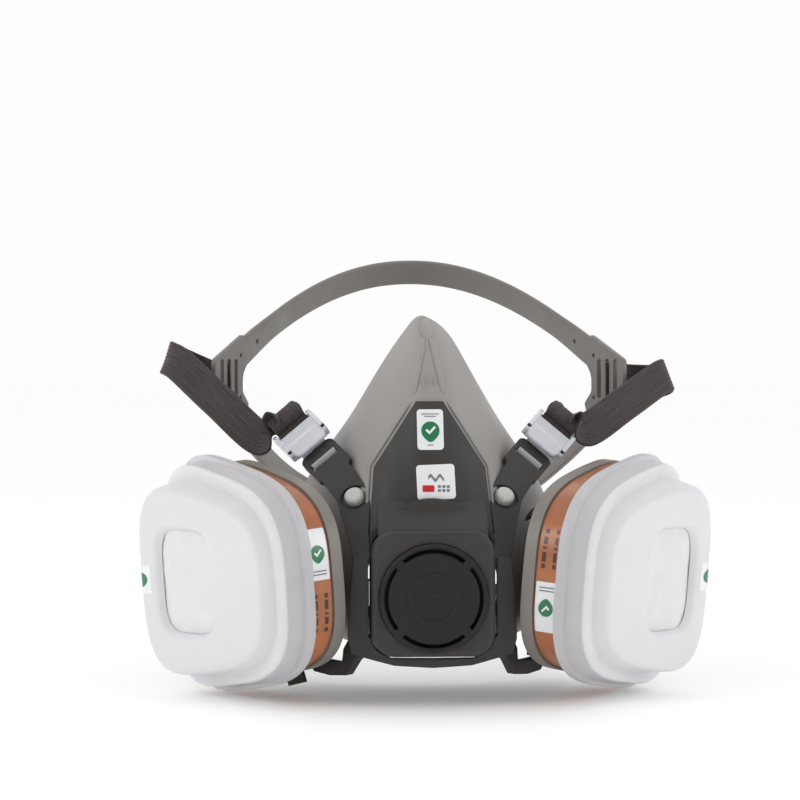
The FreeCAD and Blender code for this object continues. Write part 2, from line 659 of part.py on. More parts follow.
def sticker(x, z, w, h, lean):
    """Thin sticker on the centre plate."""
    skin = facepiece_solid(-SHELL_T - 0.27).cut(facepiece_solid(-SHELL_T - 0.02))
    patch = rounded_box(w, h, 1.2, 4, 60)
    patch = spun(patch, lean)
    patch = placed(patch, basis(V(x, 0, z), V(1, 0, 0), V(0, 0, 1), V(0, -1, 0)))
    return biggest(patch.common(skin))


def save_all(nodes):
    for name, shape in nodes.items():
        save(name, shape)


if __name__ == "__main__":
    os.makedirs("parts", exist_ok=True)
    nodes = {}
    nodes["face_seal"] = face_seal()
    nodes["front_shell"] = front_shell()
    nodes["exhale_valve_seat"] = placed(valve_seat(), valve_frame())
    nodes["exhale_valve_flap"] = placed(valve_flap(), valve_frame())
    nodes["exhale_valve_cover"] = placed(valve_cover(), valve_frame())
    nodes["yoke"] = yoke()
    nodes["yoke_studs"] = Part.makeCompound([stud(), mirror_x(stud())])
    pieces = {
        "port": port(), "port_gasket": gasket(), "inhale_flap": inhale_flap(),
        "cartridge_housing": cartridge_housing(), "cartridge_socket": cartridge_socket(),
        "carbon_bed": carbon_bed(), "scrim": scrim(), "cartridge_lid": cartridge_lid(),
        "cartridge_label": label(), "retainer": retainer(), "filter_pad": filter_pad(),
    }
    for name, side in SIDES.items():
        for piece, shape in pieces.items():
            nodes[f"{name}_{piece}"] = placed(shape, port_frame(side))
    nodes["left_upper_strap"] = mirror_x(upper_strap(6.0))
    nodes["right_upper_strap"] = upper_strap(0.0)
    sided = {"upper_buckle": placed(buckle(), bar_frame()), "neck_strap": neck_strap()}
    for piece, shape in sided.items():
        nodes[f"right_{piece}"] = shape
        nodes[f"left_{piece}"] = mirror_x(shape)
    nodes["head_cradle"] = cradle()
    nodes["neck_clasp_loop"] = clasp_loop()
    nodes["neck_clasp_hook"] = clasp_hook()
    nodes["upper_sticker"] = sticker(0, 25.5, 9.0, 13.6, 0)
    nodes["lower_sticker"] = sticker(1.6, 8.0, 13.0, 11.6, 2)
    save_all(nodes)
    for name, shape in nodes.items():
        print(name, shape.isValid(), len(shape.Solids), round(shape.Volume, 1))
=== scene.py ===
"""Looks of a twin-cartridge half-face respirator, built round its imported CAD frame.

The scene is in metres. Pieces are drawn in local frames whose unit is the millimetre: a port frame
per cartridge, a bar frame per strap buckle and a plate frame per temple plate of the head cradle.
"""
import json
import math

import bmesh
import bpy
from mathutils import Matrix, Vector, noise
from mathutils.bvhtree import BVHTree


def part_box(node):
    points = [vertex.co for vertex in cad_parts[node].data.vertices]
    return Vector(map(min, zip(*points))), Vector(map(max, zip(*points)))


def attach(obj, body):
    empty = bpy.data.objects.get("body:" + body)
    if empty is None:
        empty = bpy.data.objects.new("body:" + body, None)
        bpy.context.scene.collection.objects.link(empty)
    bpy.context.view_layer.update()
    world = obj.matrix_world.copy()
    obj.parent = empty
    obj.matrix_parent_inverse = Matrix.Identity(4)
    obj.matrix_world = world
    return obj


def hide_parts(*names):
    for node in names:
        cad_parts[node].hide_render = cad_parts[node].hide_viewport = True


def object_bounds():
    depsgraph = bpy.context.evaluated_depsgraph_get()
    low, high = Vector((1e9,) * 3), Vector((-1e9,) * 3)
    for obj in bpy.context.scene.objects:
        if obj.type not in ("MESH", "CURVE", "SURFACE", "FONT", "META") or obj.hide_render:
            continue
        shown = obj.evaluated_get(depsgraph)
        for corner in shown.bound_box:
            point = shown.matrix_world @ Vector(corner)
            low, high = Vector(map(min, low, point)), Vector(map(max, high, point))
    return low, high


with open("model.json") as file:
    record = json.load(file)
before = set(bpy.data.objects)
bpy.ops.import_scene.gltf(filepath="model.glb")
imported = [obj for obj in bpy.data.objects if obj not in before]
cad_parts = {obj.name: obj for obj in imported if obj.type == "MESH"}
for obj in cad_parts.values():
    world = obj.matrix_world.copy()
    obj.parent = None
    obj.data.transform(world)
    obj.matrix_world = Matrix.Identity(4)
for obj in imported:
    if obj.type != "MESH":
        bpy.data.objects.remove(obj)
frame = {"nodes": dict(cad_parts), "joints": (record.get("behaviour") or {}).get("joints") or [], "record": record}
CAD_LOW, CAD_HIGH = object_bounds()
NODES = frame["nodes"]
JOINTS = {joint["name"]: joint for joint in frame["joints"]}
SIDES = {"left": -1, "right": 1}
MM = 0.001
UP = Vector((0, 0, 1))
LIGHT = 2.1                      # watts of the brighter lamp
NOISE_LOW, NOISE_HIGH = 0.3, 0.7  # most of a noise lies between these
EDGE_FLAT, EDGE_SHARP = 0.995, 0.86  # cosine between true and rounded normals where the lighter edge colour starts and ends
LENS, LENS_SHIFT = 115.7, -0.032
VIEW_YAW, VIEW_PITCH, VIEW_DISTANCE = math.radians(3.2), math.radians(1.0), 0.9
DIM_FROM, DIM_TO, DIM_LOW, DIM_HIGH = -0.95, -0.1, 0.3, 1.0    # surroundings ahead of the mask

# ---- sizes in millimetres -------------------------------------------------------------------
CART_A, CART_B, CART_TAPER, CART_POWER = 39.0, 36.5, 0.17, 3.5
CART_COUNT = 168
WINDOW_X, WINDOW_A, WINDOW_B, WINDOW_POWER = -8.0, 15.0, 18.5, 4.2
CAP_FRONT, CAP_TOP, CAP_TILT = 29.0, 38.5, 0.13
SKIRT_TOP, SKIRT_INSET = 28.0, -5.0                # the cap's clear skirt lies below and outside these
PAD_EDGE_TOP, PAD_TOP = 34.4, 36.8
LABEL_BACK, LABEL_FRONT = 9.2, 17.8
HOUSING_W, HOUSING_TOP, HOUSING_BOTTOM = 41.2, -7.5, -49.6
SEAM_BACK, SEAM_FRONT, SEAM_CORNER = 37.0, 41.5, 8.0
STRAP_W, STRAP_T = 12.5, 1.3
RIBS, RIB_HEIGHT = 9, 0.16
RAY_START = 120.0                                  # height from which surfaces are probed
DECAL_EDGE = 1.3                                   # longest edge in a sticker's mesh
TAB_NORMAL = Vector((0.3956, -0.7036, 0.5904))     # out of the right strap tab of the yoke
BAR_Y, BAR_DEPTH = -4.05, -1.3                     # the tab's bar in the bar frame
HOOK_IN, HOOK_OUT, HOOK_HALF = 3.25, 4.6, 5.0
HOOK_START, HOOK_SWEEP = -196, 226                 # degrees round the bar
CHEEK_IN, CHEEK_T = 6.7, 1.5                       # a buckle's side walls: inner face and thickness
PLATE_HALF = 6.9                                   # half the width of its cover and base
NECK_Y, NECK_LOOP_Z, NECK_RUN_Z = 24.4, -3.2, -0.7  # neck strap at the lower tab, in the port frame
TEMPLE_OUT = Vector((0.86, 0.51, 0)).normalized()  # out of the right temple plate
CRADLE_X, CRADLE_Y, CRADLE_Z = 70.0, 45.0, 46.0
CRADLE_TOP_Y, CRADLE_TOP_Z = 105.0, 83.0
CRADLE_LOW_Y, CRADLE_LOW_Z = 112.0, -9.0
TOP_POWER, LOW_POWER = 2.1, 3.2
TOP_REACH, LOW_REACH, HOLE_SHARE = 0.935, 0.955, 0.86      # shares of the way out to a temple
PLATE_Z, BAND_W, BAND_T = 42.0, 10.0, 2.0
SLOT_MID, SLOT_PITCH = -0.6, 4.8


# ---- frames ---------------------------------------------------------------------------------
def local_frame(origin, x_axis, y_axis, z_axis):
    turn = Matrix((x_axis, y_axis, z_axis)).transposed().to_4x4()
    return Matrix.Translation(origin) @ turn @ Matrix.Scale(MM, 4)


def port_frame(side):
    """Local z out along the port axis, local x to the front of the mask."""
    joint = JOINTS[f"{side}_cartridge_twist"]
    out = Vector(joint["axis"]).normalized()
    y_axis = (UP - out * out.z).normalized() * -SIDES[side]
    return local_frame(Vector(joint["pos_m"]), y_axis.cross(out), y_axis, out)


def bar_frame():
    """The right strap tab: local x along its slot, local z out of the tab."""
    joint = JOINTS["right_buckle_tilt"]
    along = Vector(joint["axis"]).normalized()
    normal = (TAB_NORMAL - along * TAB_NORMAL.dot(along)).normalized()
    across = normal.cross(along)
    origin = Vector(joint["pos_m"]) - (across * BAR_Y + normal * BAR_DEPTH) * MM
    return local_frame(origin, along, across, normal)


def plate_frame():
    """The right temple plate: local x back along the temple, local y up, local z outwards."""
    return local_frame(Vector((CRADLE_X, CRADLE_Y, PLATE_Z)) * MM, UP.cross(TEMPLE_OUT), UP, TEMPLE_OUT)


def front_frame():
    """Seen from the front: local x right, local y up, local z towards the viewer."""
    return local_frame(Vector((0, 0, 0)), Vector((1, 0, 0)), UP, Vector((0, -1, 0)))


# ---- materials ------------------------------------------------------------------------------
def srgb(red, green, blue):
    """Linear colour of an 8-bit one."""
    return [((c / 255 + 0.055) / 1.055) ** 2.4 for c in (red, green, blue)] + [1.0]


class Finish:
    """A Principled material whose colour, roughness and bump come from procedural nodes."""

    def __init__(self, name, colour, roughness, coords="Object", **inputs):
        self.material = bpy.data.materials.new(name)
        self.material.use_nodes = True
        self.tree = self.material.node_tree
        self.shader = self.tree.nodes["Principled BSDF"]
        self.place = self.add("ShaderNodeTexCoord").outputs[coords]
        self.normal = None
        self.colour = colour
        self.shader.inputs["Base Color"].default_value = colour
        self.shader.inputs["Roughness"].default_value = roughness
        for key, value in inputs.items():
            self.shader.inputs[key.replace("_", " ")].default_value = value

    def add(self, kind, **settings):
        made = self.tree.nodes.new(kind)
        for key, value in settings.items():
            setattr(made, key, value)
        return made

    def link(self, output, into):
        self.tree.links.new(output, into)

    def math(self, operation, first, second):
        made = self.add("ShaderNodeMath", operation=operation)
        for slot, value in zip(made.inputs, (first, second)):
            if isinstance(value, (int, float)):
                slot.default_value = value
            else:
                self.link(value, slot)
        return made.outputs[0]

    def noise(self, size, detail=3.0, stretch=(1, 1, 1)):
        """Noise whose features are about size metres across, before the stretch."""
        mapping = self.add("ShaderNodeMapping")
        mapping.inputs["Scale"].default_value = stretch
        self.link(self.place, mapping.inputs["Vector"])
        made = self.add("ShaderNodeTexNoise")
        made.inputs["Scale"].default_value = 1 / size
        made.inputs["Detail"].default_value = detail
        self.link(mapping.outputs["Vector"], made.inputs["Vector"])
        return made.outputs["Fac"]

    def blend(self, factor, first, second):
        """Colour from first to second by a value from 0 to 1."""
        made = self.add("ShaderNodeMix", data_type="RGBA")
        self.link(factor, made.inputs[0])
        for slot, value in ((made.inputs[6], first), (made.inputs[7], second)):
            if isinstance(value, (list, tuple)):
                slot.default_value = value
            else:
                self.link(value, slot)
        return made.outputs[2]

    def range(self, value, low, high, new_low=0.0, new_high=1.0):
        made = self.add("ShaderNodeMapRange")
        self.link(value, made.inputs[0])
        for slot, number in zip(made.inputs[1:5], (low, high, new_low, new_high)):
            slot.default_value = number
        return made.outputs[0]

    def mottle(self, size, spread, **settings):
        """Slow changes of tone over the surface."""
        factor = self.range(self.noise(size, **settings), NOISE_LOW, NOISE_HIGH)
        dark = [c * (1 - spread) for c in self.colour[:3]] + [1.0]
        light = [min(c * (1 + spread), 1.0) for c in self.colour[:3]] + [1.0]
        self.tone = self.blend(factor, dark, light)
        self.link(self.tone, self.shader.inputs["Base Color"])
        return self

    def gloss(self, size, low, high):
        """Roughness that changes from place to place."""
        factor = self.range(self.noise(size), NOISE_LOW, NOISE_HIGH, low, high)
        self.link(factor, self.shader.inputs["Roughness"])
        return self

    def soft_edges(self, radius, edge_lightening):
        """Rounded look on moulded edges, and a lighter colour along them."""
        bevel = self.add("ShaderNodeBevel", samples=6)
        bevel.inputs["Radius"].default_value = radius
        self.normal = bevel.outputs["Normal"]
        if edge_lightening:
            flat = self.add("ShaderNodeNewGeometry").outputs["Normal"]
            dot = self.add("ShaderNodeVectorMath", operation="DOT_PRODUCT")
            self.link(self.normal, dot.inputs[0])
            self.link(flat, dot.inputs[1])
            edge = self.range(dot.outputs["Value"], EDGE_FLAT, EDGE_SHARP, 0.0, edge_lightening)
            # colour made lighter along the rounded edges, more where the rounded normal turns further from the
            # true one
            light = [min(c * 2.2 + 0.03, 1.0) for c in self.colour[:3]] + [1.0]
            self.link(self.blend(edge, self.tone, light), self.shader.inputs["Base Color"])
        return self

    def bump(self, height, depth):
        made = self.add("ShaderNodeBump")
        made.inputs["Strength"].default_value = 1.0
        made.inputs["Distance"].default_value = depth
        self.link(height, made.inputs["Height"])
        if self.normal:
            self.link(self.normal, made.inputs["Normal"])
        self.normal = made.outputs["Normal"]
        self.link(self.normal, self.shader.inputs["Normal"])
        return self


def plastic(name, colour, roughness, grain=0.00035, depth=0.00003, edge=0.0004, edge_lightening=0.35, **inputs):
    """Moulded plastic with a fine grain and slightly lighter edges."""
    made = Finish(name, colour, roughness, **inputs)
    made.mottle(0.02, 0.06)
    made.gloss(0.012, roughness - 0.06, roughness + 0.08)
    made.soft_edges(edge, edge_lightening)
    return made.bump(made.noise(grain, 2.0), depth)


def elastomer():
    made = Finish("grey_elastomer", srgb(153, 149, 146), 0.42, Coat_Weight=0.08, Coat_Roughness=0.35)
    made.mottle(0.03, 0.05)
    made.gloss(0.02, 0.38, 0.5)
    made.soft_edges(0.0006, 0.0)
    return made.bump(made.noise(0.0005, 2.0), 0.000015)


def fleece():
    made = Finish("filter_fleece", srgb(232, 231, 232), 0.9, Sheen_Weight=0.15)
    made.mottle(0.006, 0.02)
    fibres = made.math("ADD", made.noise(0.0006, 4.0, (3, 1, 1)), made.noise(0.0007, 4.0, (1, 1, 3)))
    return made.bump(fibres, 0.00018)


def frosted():
    made = Finish("frosted_plastic", srgb(240, 240, 243), 0.42, IOR=1.3)
    made.mottle(0.015, 0.015)
    sheer = made.add("ShaderNodeAttribute", attribute_name="sheer").outputs["Fac"]
    made.link(made.range(sheer, 0, 1, 0.18, 0.5), made.shader.inputs["Transmission Weight"])
    cloud = made.range(made.noise(0.01), NOISE_LOW, NOISE_HIGH, -0.05, 0.06)
    roughness = made.math("ADD", made.range(sheer, 0, 1, 0.44, 0.36), cloud)
    made.link(roughness, made.shader.inputs["Roughness"])
    return made.bump(made.noise(0.0007, 2.0), 0.00001)


def clear():
    made = Finish("clear_plastic", srgb(240, 242, 248), 0.16, IOR=1.4, Transmission_Weight=0.36)
    made.mottle(0.008, 0.02)
    made.gloss(0.006, 0.1, 0.26)
    return made.bump(made.noise(0.002, 2.0), 0.00003)


def webbing():
    """Elastic webbing: streaky yarns along it and a fine weave across, placed by its own length."""
    made = Finish("webbing", srgb(88, 79, 77), 0.85, coords="UV", Sheen_Weight=0.2)
    streak = made.range(made.noise(1.0, 3.0, (70, 3200, 1)), 0.32, 0.68)
    fleck = made.range(made.noise(1.0, 2.0, (900, 1500, 1)), 0.35, 0.65)
    tone = made.blend(streak, srgb(33, 28, 28), srgb(82, 71, 69))
    made.link(made.blend(made.math("MULTIPLY", fleck, 0.4), tone, srgb(48, 41, 41)),
              made.shader.inputs["Base Color"])
    parts = made.add("ShaderNodeSeparateXYZ")
    made.link(made.place, parts.inputs[0])
    row = made.math("FLOOR", made.math("MULTIPLY", parts.outputs[1], RIBS * 2 / (STRAP_W * MM)), 0)
    phase = made.math("ADD", made.math("MULTIPLY", parts.outputs[0], 2 * math.pi / 0.0009),
                      made.math("MULTIPLY", row, math.pi))
    threads = made.math("ADD", made.math("MULTIPLY", made.math("SINE", phase, 0), 0.45), fleck)
    return made.bump(threads, 0.0001)


def granules():
    made = Finish("carbon", srgb(30, 30, 31), 0.6)
    cells = made.add("ShaderNodeTexVoronoi")
    cells.inputs["Scale"].default_value = 1 / 0.0012
    made.link(made.place, cells.inputs["Vector"])
    return made.bump(cells.outputs["Distance"], 0.0005)


def print_film(name, colour, roughness=0.3, spread=0.03):
    """Printed or plain sticker film: nearly flat, glossy, with faint ripples."""
    made = Finish(name, colour, roughness, Coat_Weight=0.25, Coat_Roughness=0.2)
    made.mottle(0.01, spread)
    return made.bump(made.noise(0.006, 2.0), 0.00005)


def make_finishes():
    return {
        "grey_elastomer": elastomer(),
        "dark_plastic": plastic("dark_plastic", srgb(58, 56, 54), 0.5, Specular_IOR_Level=0.38),
        "black_plastic": plastic("black_plastic", srgb(27, 26, 27), 0.42, Specular_IOR_Level=0.35),
        "stud_plastic": plastic("stud_plastic", srgb(205, 203, 198), 0.35, edge_lightening=0.0),
        "black_rubber": plastic("black_rubber", srgb(30, 30, 30), 0.7, edge_lightening=0.0),
        "pale_rubber": plastic("pale_rubber", srgb(214, 200, 160), 0.5, edge_lightening=0.0),
        "cartridge_plastic": plastic("cartridge_plastic", srgb(134, 128, 122), 0.4, edge_lightening=0.15),
        "carbon": granules(),
        "filter_fleece": fleece(),
        "brown_label": print_film("brown_label", srgb(176, 104, 58), 0.28, 0.16),
        "frosted_plastic": frosted(),
        "clear_plastic": clear(),
        "webbing": webbing(),
        "cradle_plastic": plastic("cradle_plastic", srgb(122, 118, 114), 0.42, edge=0.0003, edge_lightening=0.2),
        "sticker": print_film("sticker", srgb(236, 238, 240)),
        "green_ink": print_film("green_ink", srgb(28, 118, 74)),
        "red_ink": print_film("red_ink", srgb(196, 40, 44)),
        "grey_ink": print_film("grey_ink", srgb(120, 122, 126)),
        "dark_ink": print_film("dark_ink", srgb(62, 34, 24)),
    }


FINISHES = make_finishes()
SLOT_OF = {row["node"]: row["material_slot"] for row in frame["record"]["subparts"]}


def paint_cad_nodes():
    for name, obj in NODES.items():
        obj.data.materials.clear()
        obj.data.materials.append(FINISHES[SLOT_OF[name]].material)


# ---- mesh helpers ---------------------------------------------------------------------------
def add_piece(name, points, faces, finish, body, uv=None):
    """A new mesh piece that rides on a body and takes its finish from a material slot."""
    mesh = bpy.data.meshes.new(name)
    mesh.from_pydata([tuple(p) for p in points], [], faces)
    work = bmesh.new()
    work.from_mesh(mesh)
    bmesh.ops.recalc_face_normals(work, faces=work.faces)
    work.to_mesh(mesh)
    work.free()
    if uv:
        layer = mesh.uv_layers.new(name="length_and_width")
        for loop in mesh.loops:
            layer.data[loop.index].uv = uv[loop.vertex_index]
    for face in mesh.polygons:
        face.use_smooth = True
    mesh.materials.append(FINISHES[finish].material)
    obj = bpy.data.objects.new(name, mesh)
    bpy.context.scene.collection.objects.link(obj)
    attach(obj, body)
    return obj


def sharpen(obj, degrees):
    """Smooth shading that stops at edges sharper than an angle."""
    work = bmesh.new()
    work.from_mesh(obj.data)
    for edge in work.edges:
        edge.smooth = len(edge.link_faces) == 2 and edge.calc_face_angle(0) < math.radians(degrees)
    work.to_mesh(obj.data)
    work.free()
    return obj


def ring_faces(count, rows, wrap=False, first=0):
    """Quads that join rows of rings, each with the same count of points."""
    faces = []
    for row in range(rows if wrap else rows - 1):
        below, above = row * count, (row + 1) % rows * count
        for i in range(count):
            j = (i + 1) % count
            faces.append(tuple(first + k for k in (below + i, below + j, above + j, above + i)))
    return faces


def capped_faces(count, rows, first=0):
    faces = ring_faces(count, rows, first=first)
    faces.append(tuple(range(first + count - 1, first - 1, -1)))
    faces.append(tuple(first + (rows - 1) * count + i for i in range(count)))
    return faces


def rounded(corners, steps=5):
    """Closed outline through (u, v, radius) corners, each one rounded off."""
    points = []
    for i, (u, v, radius) in enumerate(corners):
        here = Vector((u, v))
        before = Vector(corners[i - 1][:2]) - here
        after = Vector(corners[(i + 1) % len(corners)][:2]) - here
        half = max(before.angle(after) / 2, 0.05)
        reach = min(radius / math.tan(half), 0.48 * before.length, 0.48 * after.length)
        start, end = here + before.normalized() * reach, here + after.normalized() * reach
        for k in range(steps + 1):
            t = k / steps
            points.append(start * (1 - t) ** 2 + here * (2 * t * (1 - t)) + end * t ** 2)
    return points


def prism(outline, z0, z1, chamfer=0.25):
    """(points, faces) of an outline pushed from z0 to z1, with small chamfers at both ends."""
    centre = sum((Vector(p) for p in outline), Vector((0, 0))) / len(outline)
    rows = [(z0, chamfer), (z0 + chamfer, 0), (z1 - chamfer, 0), (z1, chamfer)]
    points = []
    for z, inset in rows:
        for p in outline:
            offset = Vector(p) - centre
            shrunk = centre + offset * (1 - inset / max(offset.length, 1.0))
            points.append(Vector((shrunk.x, shrunk.y, z)))
    return points, capped_faces(len(outline), len(rows))


def join(shapes):
    """One (points, faces) from several."""
    points, faces = [], []
    for some_points, some_faces in shapes:
        shift = len(points)
        points.extend(some_points)
        faces.extend(tuple(i + shift for i in face) for face in some_faces)
    return points, faces


def placed(shape, matrix):
    points, faces = shape
    return [matrix @ Vector(p) for p in points], faces


def mirror_points(points):
    return [Vector((-p[0], p[1], p[2])) for p in points]


def for_side(side, points):
    """Points drawn for the right side, mirrored for the left one."""
    return points if side == "right" else mirror_points(points)


def stations_for(side, stations):
    """The same for (centre, across) stations of a strap."""
    centres = for_side(side, [centre for centre, _ in stations])
    return list(zip(centres, for_side(side, [across for _, across in stations])))


def surface_of(obj):
    points = [v.co.copy() for v in obj.data.vertices]
    return BVHTree.FromPolygons(points, [tuple(p.vertices) for p in obj.data.polygons])


def project(tree, matrix, u, v):
    """Where a ray down the local z axis at (u, v) first meets a surface, and the normal there."""
    start = matrix @ Vector((u, v, RAY_START))
    down = (matrix.to_3x3() @ Vector((0, 0, -1))).normalized()
    spot, normal, _, _ = tree.ray_cast(start, down)
    if spot is None:
        spot, normal, _, _ = tree.find_nearest(matrix @ Vector((u, v, 0)))
    if normal.dot(down) > 0:
        normal = -normal
    return spot, normal


def decal(name, outline, tree, matrix, lift, finish, body):
    """A filled outline laid on a surface, a little above it, as a sticker or its print."""
    work = bmesh.new()
    work.faces.new([work.verts.new((p[0], p[1], 0)) for p in outline])
    bmesh.ops.triangulate(work, faces=work.faces)
    for _ in range(3):
        long_edges = [e for e in work.edges if e.calc_length() > DECAL_EDGE]
        bmesh.ops.subdivide_edges(work, edges=long_edges, cuts=1)
        bmesh.ops.triangulate(work, faces=work.faces)
    work.verts.index_update()
    points = []
    for vertex in work.verts:
        spot, normal = project(tree, matrix, vertex.co.x, vertex.co.y)
        points.append(spot + normal * lift * MM)
    faces = [tuple(v.index for v in face.verts) for face in work.faces]
    work.free()
    return add_piece(name, points, faces, finish, body)


def bead(name, route, tree, matrix, width, height):
    """A low rounded ridge moulded along a line on the facepiece, which fades out at both ends."""
    section = [(math.cos(a), math.sin(a)) for a in (math.radians(180 * k / 8) for k in range(9))]
    section.append((0, -0.6))
    points = []
    last = len(route) - 1
    spots = [project(tree, matrix, u, v) for u, v in route]
    for i, (spot, normal) in enumerate(spots):
        run = spots[min(i + 1, last)][0] - spots[max(i - 1, 0)][0]
        side = run.cross(normal).normalized()
        fade = math.sin(min(1.0, min(i, last - i) / 5) * math.pi / 2)
        broad = width * (0.3 + 0.7 * fade) / 2
        for across, up in section:
            rise = up * height * fade - 0.15 * (1 - fade)
            points.append(spot + side * (across * broad * MM) + normal * (rise * MM))
    faces = capped_faces(len(section), len(spots))
    return add_piece(name, points, faces, "grey_elastomer", "mask")


def line(start, end, count):
    return [tuple(a + (b - a) * i / count for a, b in zip(start, end)) for i in range(count + 1)]


def disc_outline(radius, centre=(0, 0), count=28):
    turns = [2 * math.pi * i / count for i in range(count)]
    return [(centre[0] + radius * math.cos(t), centre[1] + radius * math.sin(t)) for t in turns]


def box_outline(x0, x1, y0, y1, radius=0.4):
    corners = [(x0, y0, radius), (x1, y0, radius), (x1, y1, radius), (x0, y1, radius)]
    return [tuple(p) for p in rounded(corners)]


# ---- cartridges -----------------------------------------------------------------------------
def superellipse(a, b, power, angle):
    c, s = math.cos(angle), math.sin(angle)
    reach = (abs(c / a) ** power + abs(s / b) ** power) ** (-1 / power)
    return reach * c, reach * s


def cap_ring(grow, z):
    """Ring of the cartridge outline, or of the window where grow is far below zero."""
    ring = []
    tilt = CAP_TILT * min(max((z - CAP_FRONT) / (CAP_TOP - CAP_FRONT), 0.0), 1.0)
    for i in range(CART_COUNT):
        angle = 2 * math.pi * i / CART_COUNT
        if grow > -12:
            x, y = superellipse(CART_A + grow, CART_B + grow, CART_POWER, angle)
            y *= 1 - CART_TAPER * x / (CART_B + grow)
        else:
            x, y = superellipse(WINDOW_A + grow + 16, WINDOW_B + grow + 16, WINDOW_POWER, angle)
            x += WINDOW_X
        ring.append(Vector((x, y, z - tilt * x)))
    return ring


# outer skin from the rim up to the window, then back down inside: (grow, z, edge radius)
CAP_PROFILE = [
    (2.2, 18.2, 0.5), (2.2, 21.6, 0.9), (0.5, 21.6, 0.8), (-0.5, 29.0, 1.9), (-4.3, 29.2, 1.3),
    (-6.4, CAP_TOP, 2.4), (-15.5, CAP_TOP - 0.1, 3.0), (-17.0, 36.6, 0.4), (-15.8, 36.5, 0.3),
    (-8.4, 36.9, 1.0), (-6.0, 27.7, 0.6), (-2.3, 27.6, 0.6), (-1.5, 22.5, 0.4), (-2.0, 22.3, 0.2),
    (-2.0, 18.2, 0.3),
]


def retainer(side):
    """Frosted push-on cap with soft steps and a dished window; its skirt is clearer than its face."""
    matrix = port_frame(side)
    profile = rounded(CAP_PROFILE)
    rings = [cap_ring(p[0], p[1]) for p in profile]
    points = [matrix @ p for ring in rings for p in ring]
    faces = ring_faces(CART_COUNT, len(rings), wrap=True)
    obj = add_piece(f"{side}_cap", points, faces, "frosted_plastic", f"{side}_retainer")
    sheer = obj.data.attributes.new("sheer", "FLOAT", "POINT")
    for i, p in enumerate(profile):
        for k in range(CART_COUNT):
            sheer.data[i * CART_COUNT + k].value = 1.0 if p[1] < SKIRT_TOP and p[0] > SKIRT_INSET else 0.0
    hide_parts(f"{side}_retainer")
    return obj


# the pad from its back up over the sealed edge to the crown: (grow, z)
PAD_PROFILE = [
    (-9.0, 22.7), (-5.0, 22.7), (-3.2, 22.9), (-2.6, 23.5), (-2.8, 24.3), (-4.2, 24.7), (-5.4, 25.0),
    (-6.4, 26.6), (-7.6, 29.4), (-9.0, 32.2), (-11.2, PAD_EDGE_TOP),
]


def filter_pad(side):
    """White fleece filter: a sealed flat edge, and a padded middle that swells into the window."""
    matrix = port_frame(side)
    rings = [cap_ring(grow, z) for grow, z in PAD_PROFILE]
    edge = rings[-1]
    centre = Vector((WINDOW_X, 0, 0))
    for share in (0.86, 0.72, 0.58, 0.44, 0.3, 0.16, 0.04):
        z = PAD_TOP - (PAD_TOP - PAD_EDGE_TOP) * share ** 3
        ring = [centre.lerp(Vector((p.x, p.y, 0)), share) for p in edge]
        rings.append([p + UP * (z - CAP_TILT * p.x) for p in ring])
    points = []
    for row, ring in enumerate(rings):
        for p in ring:
            swell = noise.noise(Vector((p.x, p.y, row)) * 0.16) * 0.35 + noise.noise(p * 0.55) * 0.12
            points.append(matrix @ (p + UP * (swell if row > 4 else 0)))
    faces = capped_faces(CART_COUNT, len(rings))
    obj = add_piece(f"{side}_fleece_pad", points, faces, "filter_fleece", f"{side}_retainer")
    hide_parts(f"{side}_filter_pad")
    return obj


def shield_outline(size, centre):
    """A plain round badge outline, a little pointed at the foot."""
    outline = []
    for i in range(32):
        t = 2 * math.pi * i / 32
        point = 1 + 0.22 * max(0.0, -math.sin(t)) ** 6
        outline.append((centre[0] + size * math.cos(t), centre[1] + size * point * math.sin(t)))
    return outline


def tick_outline(size, centre):
    corners = [(-0.55, 0.02), (-0.38, 0.2), (-0.12, -0.08), (0.42, 0.5), (0.6, 0.32), (-0.12, -0.42)]
    return [(centre[0] + size * u, centre[1] + size * v) for u, v in corners]


def checked_badge(prefix, size, centre, tree, matrix, lift, body):
    """Generic green badge with a white tick."""
    decal(f"{prefix}_badge", shield_outline(size, centre), tree, matrix, lift, "green_ink", body)
    decal(f"{prefix}_tick", tick_outline(size, centre), tree, matrix, lift + 0.05, "sticker", body)


def label_print(side):
    """Generic print and a small sticker on the front stretch of the brown band."""
    port = port_frame(side)
    x_axis, y_axis, z_axis = (port.to_3x3() @ v for v in (-UP, Vector((0, 1, 0)), Vector((1, 0, 0))))
    matrix = local_frame(port.translation, x_axis / MM, y_axis / MM, z_axis / MM)
    tree = surface_of(NODES[f"{side}_cartridge_label"])
    body = f"{side}_cartridge"
    low, high = -LABEL_FRONT + 0.2, -LABEL_BACK - 0.4
    middle = (low + high) / 2
    sticker = box_outline(low, high, 0.5, 17.5)
    decal(f"{side}_label_sticker", sticker, tree, matrix, 0.12, "sticker", body)
    checked_badge(f"{side}_label", 2.7, (middle, 9.4), tree, matrix, 0.2, body)
    for row in range(2):
        bar = box_outline(low + 1.2, high - 1.2, 2.2 + row * 1.1, 2.6 + row * 1.1, 0.1)
        decal(f"{side}_label_line_{row}", bar, tree, matrix, 0.2, "grey_ink", body)
    marks = ((-4.0, 1.5), (-6.2, 3.2), (-10.4, 0.8), (-12.0, 2.4), (-15.6, 1.4))
    for row, (start, length) in enumerate(marks):
        for column, (a, b) in enumerate(((low + 1.6, low + 2.7), (high - 2.6, high - 1.2))):
            bar = box_outline(a, b, start - length, start, 0.2)
            decal(f"{side}_label_mark_{row}_{column}", bar, tree, matrix, 0.1, "dark_ink", body)


